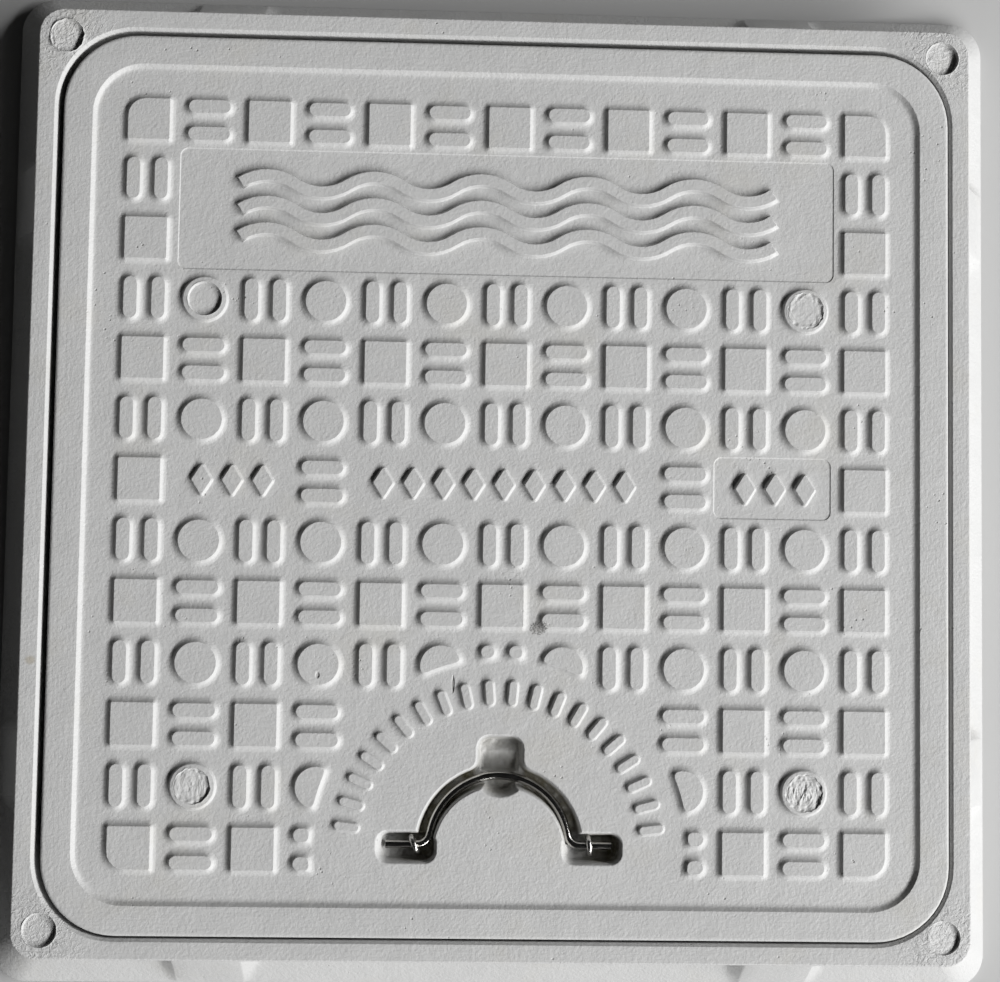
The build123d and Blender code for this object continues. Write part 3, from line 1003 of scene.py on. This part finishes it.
def frame_finish(name):
    """The moulding with wrinkles and scratches about the ejector marks in its corners, and a stain."""
    m = Moulding(name, seed=3.7)
    near = m.ramp(m.math("MINIMUM", m.across, m.along), 0.214, 0.236)
    near = m.product(near, m.ramp(m.height, 0.044, 0.048))
    wrinkle = m.product(m.noise(m.place, 330.0, detail=4.0, roughness=0.55, distortion=1.2), near)
    steep = m.noise(m.scaled(m.place, (700.0, 60.0, 60.0), turn=0.5), 1.0)
    flat = m.noise(m.scaled(m.place, (800.0, 70.0, 60.0), turn=-1.1), 1.0)
    scratch = m.product(m.larger(m.ramp(steep, 0.63, 0.70), m.ramp(flat, 0.65, 0.72)), near)
    colour = m.tint(m.product(scratch, 0.2), m.colour, SCRATCHED)
    colour = m.tint(m.product(m.spot(*STAIN), 0.5), colour, BROWN_STAIN)
    normal = m.bump(wrinkle, 1.0, 0.0009, m.normal)
    m.give(Base_Color=colour, Normal=m.bump(scratch, 0.8, 0.0003, normal))
    return m.material


def steel(name, colour, dull, roughness):
    """Drawn bar: bright metal with fine lines along it and a dull film in places."""
    m = Material(name)
    lines = m.noise(m.scaled(m.place, (160.0, 1600.0, 1600.0)), 1.0)
    film = m.ramp(m.noise(m.place, 130.0, detail=5.0, roughness=0.6), 0.45, 0.75)
    m.give(
        Base_Color=m.tint(m.product(film, 0.5), colour, dull), Metallic=1.0,
        Roughness=m.ramp(lines, 0.3, 0.7, roughness, roughness + 0.16), Normal=m.bump(lines, 0.25, 0.00012),
    )
    return m.material


def zinc(name):
    """Zinc plate with its dull crystalline mottling."""
    m = Material(name)
    crystals = m.node("TexVoronoi", {"Vector": m.place, "Scale": 900.0}, output="Color")
    film = m.noise(m.place, 300.0, detail=4.0)
    m.give(
        Base_Color=m.tint(0.12, (0.55, 0.56, 0.55, 1), crystals), Metallic=1.0,
        Roughness=m.ramp(film, 0.3, 0.7, 0.38, 0.6), Normal=m.bump(film, 0.2, 0.0001),
    )
    return m.material


def rubber(name):
    """Matt black sealing strip with fine moulded grain and pale dust."""
    m = Material(name)
    grain = m.noise(m.place, 1400.0)
    dust = m.ramp(m.noise(m.place, 60.0, detail=5.0), 0.5, 0.8, 0.0, 0.25)
    m.give(
        Base_Color=m.tint(dust, (0.022, 0.022, 0.022, 1), (0.16, 0.155, 0.145, 1)),
        Roughness=m.ramp(grain, 0.3, 0.7, 0.7, 0.9), Normal=m.bump(grain, 0.3, 0.0002),
    )
    return m.material


def floor_finish(name):
    """Plain pale board."""
    m = Material(name)
    cloud = m.noise(m.place, 3.0)
    m.give(Base_Color=m.tint(cloud, (0.45, 0.45, 0.447, 1), (0.48, 0.48, 0.477, 1)), Roughness=0.9)
    return m.material


def finish_with(piece, material):
    piece.data.materials.clear()
    piece.data.materials.append(material)


# ---------------------------------------------------------------- scene
def add_floor(reach):
    """Round floor, no larger than the light covers."""
    mesh = bpy.data.meshes.new("floor")
    edge = [(x, y, 0.0) for x, y in circle(reach).tolist()]
    mesh.from_pydata(edge, [], [tuple(range(len(edge)))])
    floor = bpy.data.objects.new("floor", mesh)
    bpy.context.scene.collection.objects.link(floor)
    finish_with(floor, floor_finish("floor"))


def add_strip(name, azimuth, elevation, distance, size, power):
    """Wide soft light, turned to the origin; angles in degrees, azimuth from +X towards -Y."""
    light = bpy.data.lights.new(name, "AREA")
    light.shape = "RECTANGLE"
    light.size, light.size_y = size
    light.energy = power
    turn, rise = math.radians(azimuth), math.radians(elevation)
    away = Vector((math.cos(turn) * math.cos(rise), -math.sin(turn) * math.cos(rise), math.sin(rise)))
    lamp = bpy.data.objects.new(name, light)
    lamp.location = away * distance
    lamp.rotation_mode = "QUATERNION"
    lamp.rotation_quaternion = away.to_track_quat("Z", "Y")
    bpy.context.scene.collection.objects.link(lamp)


def add_world(fill, backdrop):
    """Faint light from all round, in front of a plain pale backdrop."""
    world = bpy.data.worlds.new("studio")
    world.use_nodes = True
    tree = world.node_tree
    dim = tree.nodes["Background"]
    pale = tree.nodes.new("ShaderNodeBackground")
    for back, strength in ((dim, fill), (pale, backdrop)):
        back.inputs["Color"].default_value = (1.0, 1.0, 1.0, 1)
        back.inputs["Strength"].default_value = strength
    seen = tree.nodes.new("ShaderNodeLightPath")
    mix = tree.nodes.new("ShaderNodeMixShader")
    tree.links.new(seen.outputs["Is Camera Ray"], mix.inputs[0])
    tree.links.new(dim.outputs[0], mix.inputs[1])
    tree.links.new(pale.outputs[0], mix.inputs[2])
    tree.links.new(mix.outputs[0], tree.nodes["World Output"].inputs["Surface"])
    bpy.context.scene.world = world


def add_camera():
    """Camera of the photograph: nearly straight above, and a little towards the handle."""
    data = bpy.data.cameras.new("camera")
    data.sensor_width = 36.0
    data.lens = 79.2
    data.shift_x, data.shift_y = -0.03, -0.008
    data.clip_start, data.clip_end = 0.01, 20.0
    camera = bpy.data.objects.new("camera", data)
    camera.location = (-0.03955, -0.09987, 1.26255)
    camera.rotation_mode = "ZYX"
    camera.rotation_euler = (0.0826031, -0.0451806, 0.0179395)
    bpy.context.scene.collection.objects.link(camera)
    bpy.context.scene.camera = camera


# ---------------------------------------------------------------- object
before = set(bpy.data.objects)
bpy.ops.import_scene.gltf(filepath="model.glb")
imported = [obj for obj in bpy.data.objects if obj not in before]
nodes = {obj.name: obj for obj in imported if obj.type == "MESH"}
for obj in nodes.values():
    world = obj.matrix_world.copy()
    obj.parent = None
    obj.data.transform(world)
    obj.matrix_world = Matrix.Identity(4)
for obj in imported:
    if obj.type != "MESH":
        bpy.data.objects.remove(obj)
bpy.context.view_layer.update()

cover_low, cover_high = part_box("cover")
cover_centre = (cover_low + cover_high) / (2 * MM)
cover = make_cover(cover_centre)
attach(cover, "cover")
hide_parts("cover")
finish_with(cover, cover_finish("cover_moulding"))

surround = make_frame()
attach(surround, "frame")
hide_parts("frame")
finish_with(surround, frame_finish("frame_moulding"))

finish_with(nodes["lift_handle"], steel("handle_steel", (0.46, 0.45, 0.43, 1), (0.24, 0.225, 0.20, 1), 0.08))
eye_steel = steel("eye_steel", (0.58, 0.57, 0.55, 1), (0.32, 0.30, 0.27, 1), 0.20)
zinc_fastener = zinc("zinc_fastener")
for side in ("left", "right"):
    finish_with(nodes["eye_bolt_" + side], eye_steel)
    finish_with(nodes["eye_washer_" + side], zinc_fastener)
    finish_with(nodes["eye_nut_" + side], zinc_fastener)
finish_with(nodes["seat_gasket"], rubber("seal_rubber"))

add_floor(reach=5.0)
add_strip("window", azimuth=26.0, elevation=33.0, distance=6.0, size=(12.8, 1.2), power=975.0)
add_world(fill=0.012, backdrop=0.7)
add_camera()
bpy.context.scene.view_settings.view_transform = "Standard"
